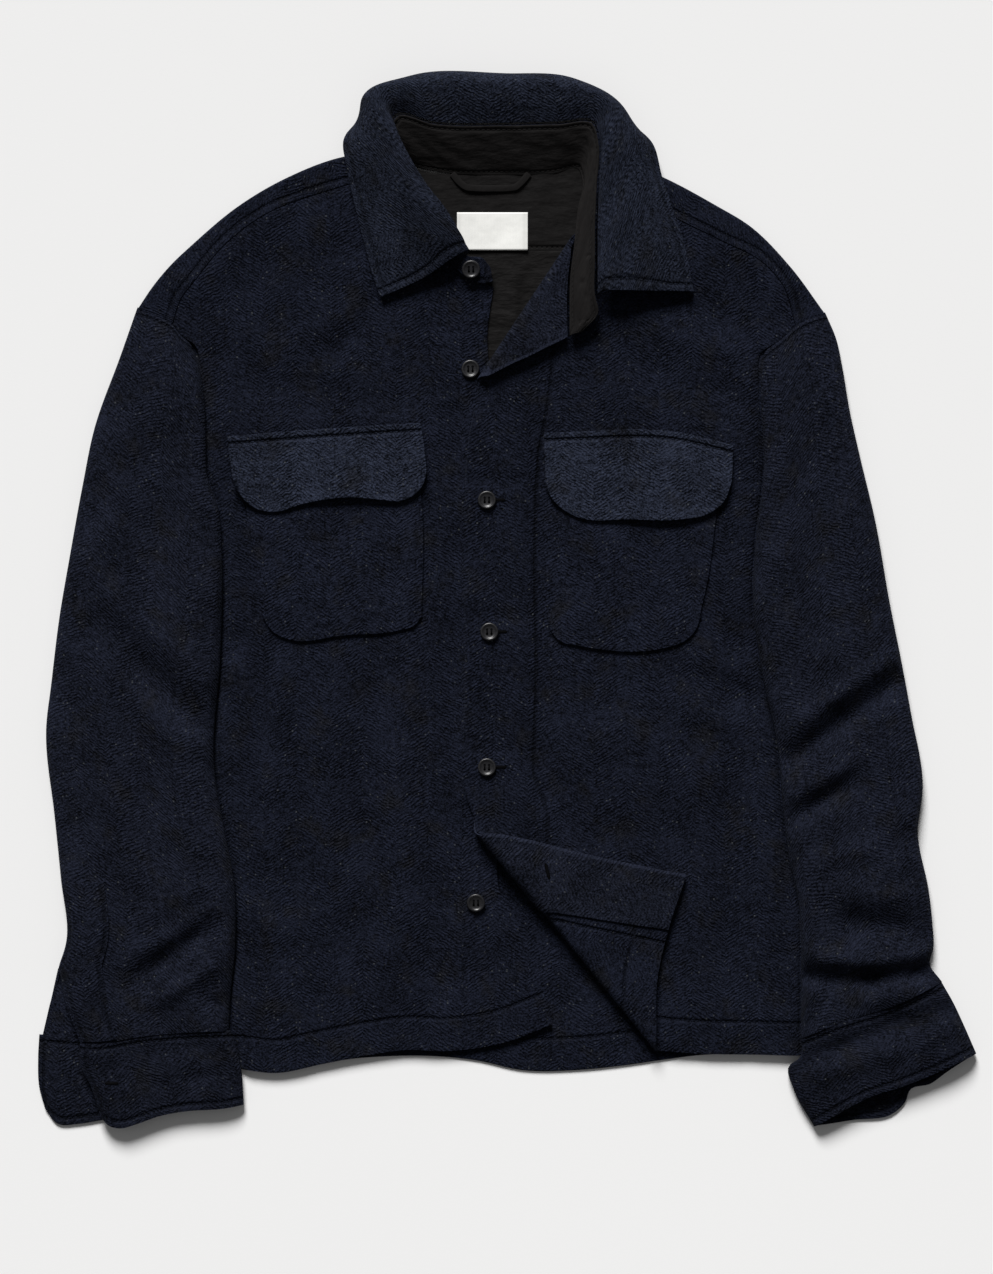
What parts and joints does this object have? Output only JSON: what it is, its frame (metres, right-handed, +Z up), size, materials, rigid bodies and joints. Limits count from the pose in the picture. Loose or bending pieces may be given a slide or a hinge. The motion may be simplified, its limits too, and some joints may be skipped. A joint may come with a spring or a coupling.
{
  "type": "shirt jacket",
  "caption": "Dark navy wool shirt jacket laid flat with its front buttoned over, collar folded down, patch pockets with flaps, lapel turned open; clothing for the upper body.",
  "frame": {"origin": "centre of the garment's outline, on the surface it lies on", "axes": "+X to the wearer's left, +Y to the collar, +Z up from the surface"},
  "size_m": [0.77, 0.8653, 0.039],
  "materials": {
    "wool": "brushed herringbone wool",
    "wool_inside": "plain inner face of the wool",
    "lining": "smooth black cotton",
    "label": "woven satin, blank",
    "button": "polished dark resin"
  },
  "bodies": {
    "root": {"back": "wool", "yoke": "wool", "front_right": "wool", "front_left": "wool", "pocket_right": "wool", "pocket_left": "wool", "flap_right": "wool", "flap_left": "wool", "collar_stand": "wool", "collar_leaf": "wool", "sleeve_right": "wool", "sleeve_left": "wool", "sleeve_placket_right": "wool", "cuff_right": "wool", "cuff_left": "wool", "facing_left": "wool_inside", "yoke_lining": "lining", "back_lining": "lining", "stand_lining": "lining", "hang_loop": "lining", "label": "label", "button_1": "button", "button_2": "button", "button_3": "button", "button_4": "button", "button_5": "button", "button_6": "button"}
  },
  "joints": []
}
